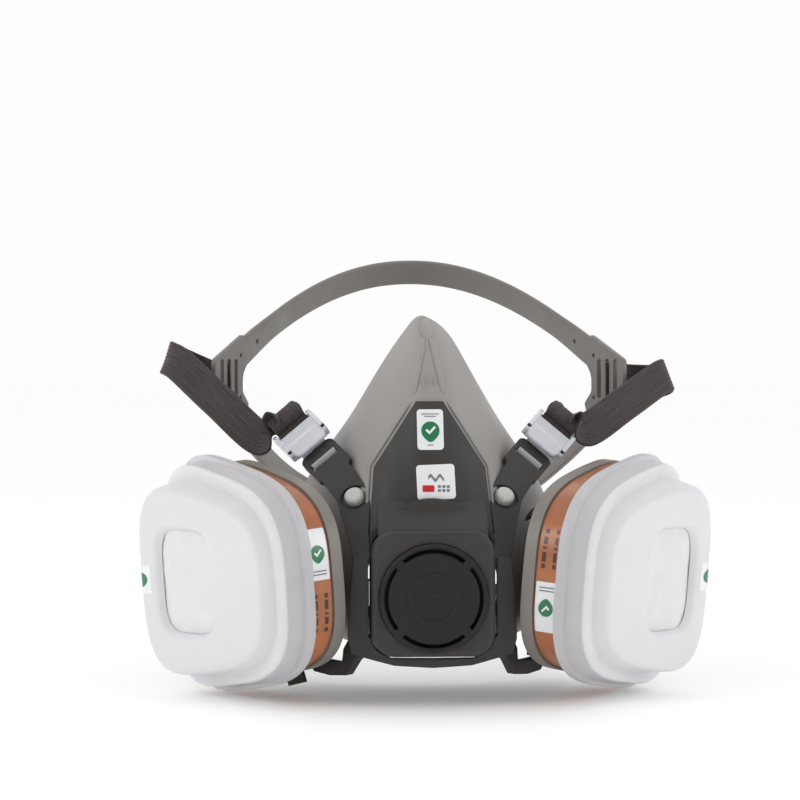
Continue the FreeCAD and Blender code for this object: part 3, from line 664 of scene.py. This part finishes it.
def cap_badge(side, cap):
    """Small seal folded over the outer edge of the cap's face."""
    edge = Matrix.Translation((-31.4, 0, CAP_TOP + 3))
    matrix = port_frame(side) @ edge @ Matrix.Rotation(-0.7, 4, "Y")
    tree = surface_of(cap)
    body = f"{side}_retainer"
    decal(f"{side}_cap_seal", box_outline(-3.4, 4.2, -5.0, 5.0), tree, matrix, 0.06, "sticker", body)
    decal(f"{side}_cap_badge", shield_outline(2.2, (0.6, 0)), tree, matrix, 0.14, "green_ink", body)


# ---- facepiece, plate and stickers ----------------------------------------------------------
def facepiece_lines():
    """Raised rim beside the plate, ridges up to the nose, and three size bars."""
    tree = surface_of(NODES["face_seal"])
    matrix = front_frame()
    for side, sign in SIDES.items():
        rim = [(sign * 21.9, -10), (sign * 21.9, -8), (sign * 20.2, 12.6), (sign * 5.6, 35.6)]
        route = line(rim[0], rim[1], 2)[:-1] + line(rim[1], rim[2], 14)[:-1] + line(rim[2], rim[3], 22)
        bead(f"{side}_plate_rim", route, tree, matrix, 1.5, 0.75)
        ridge = line((sign * 5.2, 36.6), (sign * 1.1, 58.0), 22)
        bead(f"{side}_nose_ridge", ridge, tree, matrix, 2.6, 0.6)
    for i in (-1, 0, 1):
        route = line((i * 1.9, 38.8), (i * 1.9, 45.6 - abs(i) * 1.4), 8)
        bead(f"size_bar_{i + 1}", route, tree, matrix, 1.1, 0.5)
    crest = line((0, 55.5), (0, 64.0), 14)
    bead("nose_crest", crest, tree, matrix, 4.4, 0.5)


def gap_shade_strip():
    """Thin dark strip in the seam between the exhalation housing and the yoke: painted shade that darkens the gap.
    """
    half, top, bottom = HOUSING_W / 2, HOUSING_TOP, HOUSING_BOTTOM
    rings = []
    for grow in (0.02, 0.38):
        w, radius = half + grow, SEAM_CORNER + grow
        rings.append(rounded([(-w, bottom - grow, radius), (w, bottom - grow, radius),
                              (w, top + grow, radius), (-w, top + grow, radius)], 8))
    rows = [(rings[1], SEAM_BACK), (rings[1], SEAM_FRONT), (rings[0], SEAM_FRONT), (rings[0], SEAM_BACK)]
    matrix = front_frame()
    points = [matrix @ Vector((p.x, p.y, z)) for ring, z in rows for p in ring]
    faces = ring_faces(len(rings[0]), len(rows), wrap=True)
    # the dark strip is painted shade, standing in for the shadow inside the seam
    return add_piece("housing_seam_shade", points, faces, "black_rubber", "mask")


def front_stickers():
    matrix = front_frame()
    upper = surface_of(NODES["upper_sticker"])
    low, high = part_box("upper_sticker")
    middle = ((low.x + high.x) / 2 / MM, (low.z + high.z) / 2 / MM)
    checked_badge("upper", 3.1, (middle[0], middle[1] - 0.4), upper, matrix, 0.1, "mask")
    for row in range(3):
        y = high.z / MM - 1.6 - row * 0.8 if row < 2 else low.z / MM + 1.6
        bar = box_outline(middle[0] - 3.0 + row, middle[0] + 3.0 - row, y - 0.15, y + 0.15, 0.1)
        decal(f"upper_line_{row}", bar, upper, matrix, 0.1, "grey_ink", "mask")
    lower = surface_of(NODES["lower_sticker"])
    low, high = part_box("lower_sticker")
    x, y = (low.x + high.x) / 2 / MM, (low.z + high.z) / 2 / MM
    mark = box_outline(x - 4.6, x - 0.6, y - 3.4, y - 1.2)
    decal("lower_mark", mark, lower, matrix, 0.1, "red_ink", "mask")
    for column in range(3):
        left = x + 0.6 + column * 1.5
        for row in range(2):
            square = box_outline(left, left + 1.0, y - 3.4 + row * 1.3, y - 2.5 + row * 1.3, 0.1)
            decal(f"lower_dot_{column}_{row}", square, lower, matrix, 0.1, "grey_ink", "mask")
    wave = [(x - 2.6 + 0.35 * k, y + 1.8 + 0.8 * math.sin(k * 0.7)) for k in range(16)]
    wave += [(u, v - 1.1) for u, v in reversed(wave)]
    decal("lower_wave", wave, lower, matrix, 0.1, "grey_ink", "mask")


# ---- straps ---------------------------------------------------------------------------------
def curve_through(values, steps):
    """Catmull-Rom curve through vectors, with the same count of steps on each span."""
    path = []
    last = len(values) - 1
    for i in range(last):
        p0, p1 = values[max(i - 1, 0)], values[i]
        p2, p3 = values[i + 1], values[min(i + 2, last)]
        for k in range(steps):
            t = k / steps
            path.append(0.5 * (2 * p1 + (p2 - p0) * t + (2 * p0 - 5 * p1 + 4 * p2 - p3) * t ** 2
                               + (3 * p1 - p0 - 3 * p2 + p3) * t ** 3))
    return path + [values[-1]]


def strap_section():
    """Cross-section of ribbed webbing: (across, out) in millimetres, round the whole band."""
    count = RIBS * 5
    top = []
    for k in range(count + 1):
        share = 2 * k / count - 1
        edge = min(1.0, (1 - abs(share)) * 9) ** 0.5
        rib = 0.5 + 0.5 * math.cos(math.pi * (1 + RIBS * (share + 1)))
        out = (STRAP_T / 2 - RIB_HEIGHT) * (0.25 + 0.75 * edge) + RIB_HEIGHT * rib * edge
        top.append((share * STRAP_W / 2, out))
    return top + [(across, -out) for across, out in reversed(top)]


def ribbon(name, stations, body, steps=14):
    """Webbing through (centre, across) stations, in millimetres."""
    centres = curve_through([Vector(c) for c, _ in stations], steps)
    acrosses = curve_through([Vector(a).normalized() for _, a in stations], steps)
    section = strap_section()
    points, uv = [], []
    run_length = 0.0
    last = len(centres) - 1
    for i, centre in enumerate(centres):
        run = (centres[min(i + 1, last)] - centres[max(i - 1, 0)]).normalized()
        across = (acrosses[i] - run * acrosses[i].dot(run)).normalized()
        out = run.cross(across)
        if i:
            run_length += (centre - centres[i - 1]).length * MM
        for a, b in section:
            points.append((centre + across * a + out * b) * MM)
            uv.append((run_length, a * MM))
    faces = capped_faces(len(section), len(centres))
    return add_piece(name, points, faces, "webbing", body, uv=uv)


def upper_strap(side, lift):
    """Out of the buckle, past the temple plate, round, and back through its middle slot."""
    matrix, temple = bar_frame(), plate_frame()
    across = matrix.to_3x3() @ Vector((1, 0, 0))
    lean = Vector((-0.55, 0.11, 0.83))
    route = [((0, -15.0, 0.9), across), ((0, -17.4, 1.1), across), ((0, -19.6, 2.2), across),
             ((0, -22.0, 3.2), across), ((0, -25.5, 3.5), across)]
    stations = [(matrix @ Vector(c) / MM, a) for c, a in route]
    stations += [
        (Vector((57, 9, 24 - 0.5 * lift)), lean), (Vector((73, 24, 33 + 0.2 * lift)), lean),
        (Vector((87, 38, 41.5 + 0.9 * lift)), lean),
        (Vector((91.5, 43, 43.5 + lift)), (-0.4, 0.1, 0.9)),
        (Vector((91.8, 47.5, 42.5 + 1.17 * lift)), (-0.2, 0, 0.95)),
        (Vector((88, 49.5, 41 + 1.1 * lift)), (-0.1, 0, 1)), (Vector((80, 50.5, 41 + 0.5 * lift)), UP),
        (temple @ Vector((SLOT_MID, -0.4, 3)) / MM, UP),
        (temple @ Vector((SLOT_MID, -0.4, -1.6)) / MM, UP)]
    obj = ribbon(f"{side}_upper_webbing", stations_for(side, stations), "harness")
    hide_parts(f"{side}_upper_strap")
    curl = [((0, -20.2, 3.4), across), ((0, -21.0, 4.6), across), ((0, -23.0, 5.0), across),
            ((0, -25.2, 4.9), across), ((0, -26.6, 4.4), across)]
    tail = [(matrix @ Vector(c) / MM, a) for c, a in curl]
    ribbon(f"{side}_strap_curl", stations_for(side, tail), "harness", 8)


def neck_strap_stations():
    """The right neck strap, from its loop on the lower tab's free leg to the clasp."""
    port = port_frame("right")
    upright = port.to_3x3() @ Vector((0, -1, 0))
    near = [((4.0, NECK_Y, NECK_RUN_Z), upright), ((-5.0, NECK_Y, NECK_RUN_Z), upright)]
    stations = [(port @ Vector(c) / MM, a) for c, a in near]
    far = [(54, 12, -46.5), (61, 34, -46), (61.5, 57, -45.5), (52, 82, -45), (36, 101, -45),
           (18.2, 112, -45)]
    return stations + [(Vector(c), UP) for c in far]


def neck_strap(side):
    stations = stations_for(side, neck_strap_stations())
    body = f"neck_{side}"
    obj = ribbon(f"{side}_neck_webbing", stations, body)
    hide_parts(f"{side}_neck_strap")
    port = port_frame("right")
    outline = rounded([(-4.7, -3.2, 1.8), (4.7, -3.2, 1.8), (4.7, 3.2, 1.8), (-4.7, 3.2, 1.8)])
    hole = rounded([(-3.4, -1.9, 0.8), (3.4, -1.9, 0.8), (3.4, 1.9, 0.8), (-3.4, 1.9, 0.8)])
    half = STRAP_W / 2
    rows = [(outline, -half), (outline, half), (hole, half), (hole, -half)]
    points = [port @ Vector((4.0 + p.x, NECK_Y + z, NECK_LOOP_Z + p.y)) for ring, z in rows for p in ring]
    faces = ring_faces(len(outline), len(rows), wrap=True)
    uv = [(p.length, (i % 7) * MM) for i, p in enumerate(points)]
    loop = add_piece(f"{side}_neck_loop", for_side(side, points), faces, "webbing", body, uv=uv)
    sharpen(loop, 50)
    return obj


def strap_tail():
    """Free end of the left neck strap, hanging in front of its loop."""
    port = port_frame("left")
    upright = port.to_3x3() @ Vector((0, 1, 0))
    along = port.to_3x3() @ Vector((1, 0, 0))
    route = [((1.0, -24.6, 0.9), upright), ((-3.0, -27.0, 1.2), upright + along * 0.4),
             ((-4.5, -33.0, 1.0), upright * 0.3 + along), ((-3.0, -40.5, 0.2), along)]
    stations = [(port @ Vector(c) / MM, a) for c, a in route]
    return ribbon("left_neck_tail", stations, "neck_left", 8)


# ---- buckles --------------------------------------------------------------------------------
def buckle_shape():
    """Clear buckle in the right bar frame: cover, base, two cheeks, outer bar and open hook."""
    side_view = rounded([(-8.0, -0.6, 0.5), (-8.0, 2.6, 1.0), (-10.5, 3.6, 1.2), (-18.6, 3.6, 1.4),
                         (-21.4, 2.2, 1.0), (-21.4, -1.4, 0.8), (-12.0, -1.4, 0.8)])
    to_x = Matrix(((0, 0, 1, 0), (1, 0, 0, 0), (0, 1, 0, 0), (0, 0, 0, 1)))
    cheeks = [placed(prism(side_view, x, x + CHEEK_T, 0.3), to_x) for x in (-CHEEK_IN - CHEEK_T, CHEEK_IN)]
    w = PLATE_HALF
    cover = prism(rounded([(-w, -8.0, 0.8), (1 - w, -5.4, 1.6), (w - 1, -5.4, 1.6), (w, -8.0, 0.8),
                           (w, -17.3, 0.5), (-w, -17.3, 0.5)]), 2.0, 3.2, 0.35)
    base = prism(box_outline(-w, w, -14.0, -7.9, 0.5), -0.6, 0.4, 0.2)
    bar_view = rounded([(-18.9, -0.7, 0.5), (-18.9, 0.9, 0.5), (-21.0, 0.9, 0.7), (-21.0, -0.7, 0.7)])
    bar = placed(prism(bar_view, -6.8, 6.8, 0.1), to_x)
    steps = 30
    arc = [math.radians(HOOK_START + HOOK_SWEEP * k / steps) for k in range(steps + 1)]
    outline = [(BAR_Y + HOOK_OUT * math.cos(t), BAR_DEPTH + HOOK_OUT * math.sin(t)) for t in arc]
    outline += [(BAR_Y + HOOK_IN * math.cos(t), BAR_DEPTH + HOOK_IN * math.sin(t)) for t in reversed(arc)]
    rows = [-HOOK_HALF, HOOK_HALF]
    points = [Vector((x, u, v)) for x in rows for u, v in outline]
    hook = (points, capped_faces(len(outline), len(rows)))
    return join(cheeks + [cover, base, bar, hook])


def buckle(side):
    points, faces = placed(buckle_shape(), bar_frame())
    points = for_side(side, points)
    obj = add_piece(f"{side}_buckle_body", points, faces, "clear_plastic", f"{side}_buckle")
    sharpen(obj, 35)
    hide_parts(f"{side}_upper_buckle")
    pins = []
    middle = CHEEK_IN + CHEEK_T / 2
    for x in (-middle, middle):
        pin = prism(disc_outline(0.75, (x, -9.8)), 2.4, 3.45, 0.1)
        pins.append(placed(pin, bar_frame()))
    points, faces = join(pins)
    add_piece(f"{side}_buckle_pins", for_side(side, points), faces, "black_plastic", f"{side}_buckle")


# ---- head cradle ----------------------------------------------------------------------------
def band(name, start, end, power, reach):
    """Smooth band from temple to temple in a leaning plane, turned flat against the plates."""
    lean = Vector((0, end[0] - start[0], end[1] - start[1]))
    width_axis = Vector((1, 0, 0)).cross(lean).normalized()
    w, t = BAND_W / 2, BAND_T / 2 - 0.02
    section = rounded([(-w, -t, 0.6), (w, -t, 0.6), (w, t, 0.6), (-w, t, 0.6)], 3)
    count = 120
    shares = [reach * (2 * i / count - 1) for i in range(count + 1)]
    route = [Vector((CRADLE_X * s, start[0], start[1])) + lean * (1 - abs(s) ** power) for s in shares]
    points = []
    for i, centre in enumerate(route):
        run = (route[min(i + 1, count)] - route[max(i - 1, 0)]).normalized()
        outward = Vector((math.copysign(TEMPLE_OUT.x, shares[i]), TEMPLE_OUT.y, 0))
        plate_axis = run.cross(outward).normalized()
        if plate_axis.dot(width_axis) < 0:
            plate_axis = -plate_axis
        turn = min(max((abs(shares[i]) / reach - 0.8) / 0.2, 0.0), 1.0)
        turn = turn * turn * (3 - 2 * turn)
        across = width_axis.lerp(plate_axis, turn)
        across = (across - run * across.dot(run)).normalized()
        out = run.cross(across)
        for a, b in section:
            points.append((centre + across * a + out * b) * MM)
    faces = capped_faces(len(section), len(route))
    return add_piece(name, points, faces, "cradle_plastic", "harness")


def carve(obj, cutter_shape):
    """Cuts a closed (points, faces) shape out of a piece."""
    points, faces = cutter_shape
    mesh = bpy.data.meshes.new("cutter")
    mesh.from_pydata([tuple(p) for p in points], [], faces)
    cutter = bpy.data.objects.new("cutter", mesh)
    bpy.context.scene.collection.objects.link(cutter)
    work = bmesh.new()
    work.from_mesh(mesh)
    bmesh.ops.recalc_face_normals(work, faces=work.faces)
    work.to_mesh(mesh)
    work.free()
    change = obj.modifiers.new("carve", "BOOLEAN")
    change.operation = "DIFFERENCE"
    change.solver = "EXACT"
    change.object = cutter
    bpy.context.view_layer.update()
    graph = bpy.context.evaluated_depsgraph_get()
    carved = bpy.data.meshes.new_from_object(obj.evaluated_get(graph))
    obj.modifiers.clear()
    obj.data = carved
    bpy.data.objects.remove(cutter)
    return obj


def temple_plate(side):
    """Plate with ladder slots; its edges run on into the upper and the lower band."""
    outline = rounded([(-10, -13.5, 4), (-10, 7.0, 2.0), (9.8, 16.4, 1.0), (13.6, 7.6, 1.5),
                       (9.2, 1.6, 6), (9.2, -5.0, 3), (13.4, -9.4, 1.0), (9.0, -20.0, 1.0),
                       (1.0, -14.2, 5)], 6)
    half = BAND_T / 2
    matrix = plate_frame()
    points, faces = placed(prism([tuple(p) for p in outline], -half, half, 0.3), matrix)
    obj = add_piece(f"{side}_temple_plate", points, faces, "cradle_plastic", "harness")
    for k in (-1, 0, 1):
        middle = SLOT_MID + k * SLOT_PITCH
        slot = prism(box_outline(middle - 1.15, middle + 1.15, -7.3, 7.3, 1.0), -5, 5, 0.01)
        carve(obj, placed(slot, matrix))
    for x, y in ((7.6, 8.6), (7.4, -7.0)):
        carve(obj, placed(prism(disc_outline(0.8, (x, y)), -5, 5, 0.01), matrix))
    if side == "left":
        obj.data.transform(Matrix.Scale(-1, 4, Vector((1, 0, 0))))
        obj.data.flip_normals()
    return sharpen(obj, 35)


def band_hole(obj, sign, start, top, power):
    """A small round hole through a band, part of the way from the temple to the middle."""
    lean = Vector((0, top[0] - start[0], top[1] - start[1]))
    x = sign * CRADLE_X * HOLE_SHARE
    centre = Vector((x, start[0], start[1])) + lean * (1 - HOLE_SHARE ** power)
    step = Vector((-sign * CRADLE_X, 0, 0)) + lean * (power * HOLE_SHARE ** (power - 1))
    run = step.normalized()
    width_axis = Vector((1, 0, 0)).cross(lean).normalized()
    out = run.cross(width_axis).normalized()
    matrix = local_frame(centre * MM, run, out.cross(run), out)
    return carve(obj, placed(prism(disc_outline(0.9), -4, 4, 0.01), matrix))


def head_cradle():
    top_start, top_end = (CRADLE_Y, CRADLE_Z), (CRADLE_TOP_Y, CRADLE_TOP_Z)
    low_start, low_end = (CRADLE_Y, PLATE_Z - 8), (CRADLE_LOW_Y, CRADLE_LOW_Z)
    top = band("cradle_top_band", top_start, top_end, TOP_POWER, TOP_REACH)
    low = band("cradle_low_band", low_start, low_end, LOW_POWER, LOW_REACH)
    for sign in SIDES.values():
        band_hole(top, sign, top_start, top_end, TOP_POWER)
        band_hole(low, sign, low_start, low_end, LOW_POWER)
    for obj in (top, low):
        sharpen(obj, 40)
    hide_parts("head_cradle")
    for side in SIDES:
        temple_plate(side)
    lean = Vector((0, CRADLE_TOP_Y - CRADLE_Y, CRADLE_TOP_Z - CRADLE_Z)).normalized()
    width_axis = Vector((1, 0, 0)).cross(lean)
    centre = Vector((2.5, CRADLE_TOP_Y, CRADLE_TOP_Z)) - lean * (BAND_T / 2)
    matrix = local_frame(centre * MM, Vector((1, 0, 0)), -width_axis, -lean)
    rows = [(2.3, -0.2), (2.3, 0.15), (2.0, 0.4), (1.6, 0.4), (1.3, 0.1), (0.05, 0.1)]
    turns = 32
    points = []
    for radius, z in rows:
        points.extend(matrix @ Vector((x, y, z)) for x, y in disc_outline(radius, count=turns))
    add_piece("cradle_gate_mark", points, capped_faces(turns, len(rows)), "cradle_plastic", "harness")


# ---- stage ----------------------------------------------------------------------------------
def area_light(name, spot, target, size, power):
    data = bpy.data.lights.new(name, "AREA")
    data.shape = "DISK"
    data.size = size
    data.energy = power
    obj = bpy.data.objects.new(name, data)
    bpy.context.scene.collection.objects.link(obj)
    obj.location = spot
    obj.rotation_mode = "QUATERNION"
    obj.rotation_quaternion = (Vector(target) - Vector(spot)).to_track_quat("-Z", "Y")


def stage():
    """White floor and surroundings with soft lights from above, left and right."""
    half = 12.0
    z = CAD_LOW.z - 0.001
    mesh = bpy.data.meshes.new("floor")
    corners = [(-half, -half, z), (half, -half, z), (half, half, z), (-half, half, z)]
    mesh.from_pydata(corners, [], [(0, 1, 2, 3)])
    floor = bpy.data.objects.new("floor", mesh)
    bpy.context.scene.collection.objects.link(floor)
    finish = Finish("studio_floor", srgb(252, 252, 252), 0.9, Emission_Color=(1, 1, 1, 1),
                    Emission_Strength=0.14)
    finish.mottle(0.5, 0.004)
    mesh.materials.append(finish.material)
    bpy.context.scene.world = surroundings()
    bpy.context.scene.view_settings.view_transform = "Standard"
    centre = (CAD_LOW + CAD_HIGH) / 2
    area_light("left_light", centre + Vector((-0.85, -0.55, 0.4)), centre, 0.5, LIGHT)
    area_light("right_light", centre + Vector((0.85, -0.55, 0.3)), centre, 0.5, LIGHT * 0.85)


def surroundings():
    """White all round, but dimmer ahead of the mask, so that front faces keep some shape."""
    world = bpy.data.worlds.new("studio")
    world.use_nodes = True
    tree = world.node_tree
    background = tree.nodes["Background"]
    background.inputs["Color"].default_value = (0.985, 0.985, 0.985, 1)
    parts = tree.nodes.new("ShaderNodeSeparateXYZ")
    tree.links.new(tree.nodes.new("ShaderNodeTexCoord").outputs["Generated"], parts.inputs[0])
    dimmer = tree.nodes.new("ShaderNodeMapRange")
    dimmer.interpolation_type = "SMOOTHSTEP"
    for slot, value in zip(dimmer.inputs[1:5], (DIM_FROM, DIM_TO, DIM_LOW, DIM_HIGH)):
        slot.default_value = value
    tree.links.new(parts.outputs["Y"], dimmer.inputs[0])
    tree.links.new(dimmer.outputs[0], background.inputs["Strength"])
    return world


def camera():
    """Long lens, nearly level, a little to the mask's left of straight ahead."""
    data = bpy.data.cameras.new("camera")
    data.lens = LENS
    data.shift_x = LENS_SHIFT
    data.clip_start = 0.05
    obj = bpy.data.objects.new("camera", data)
    bpy.context.scene.collection.objects.link(obj)
    target = Vector((0, 0, 0.035))
    level = math.cos(VIEW_PITCH)
    ahead = Vector((math.sin(VIEW_YAW) * level, math.cos(VIEW_YAW) * level, -math.sin(VIEW_PITCH)))
    obj.location = target - ahead * VIEW_DISTANCE
    obj.rotation_mode = "QUATERNION"
    obj.rotation_quaternion = ahead.to_track_quat("-Z", "Y")
    bpy.context.scene.camera = obj


def build():
    paint_cad_nodes()
    for side in SIDES:
        cap = retainer(side)
        filter_pad(side)
        label_print(side)
        cap_badge(side, cap)
        buckle(side)
        neck_strap(side)
    upper_strap("left", 6.0)
    upper_strap("right", 0.0)
    strap_tail()
    facepiece_lines()
    gap_shade_strip()
    front_stickers()
    head_cradle()
    stage()
    camera()


build()
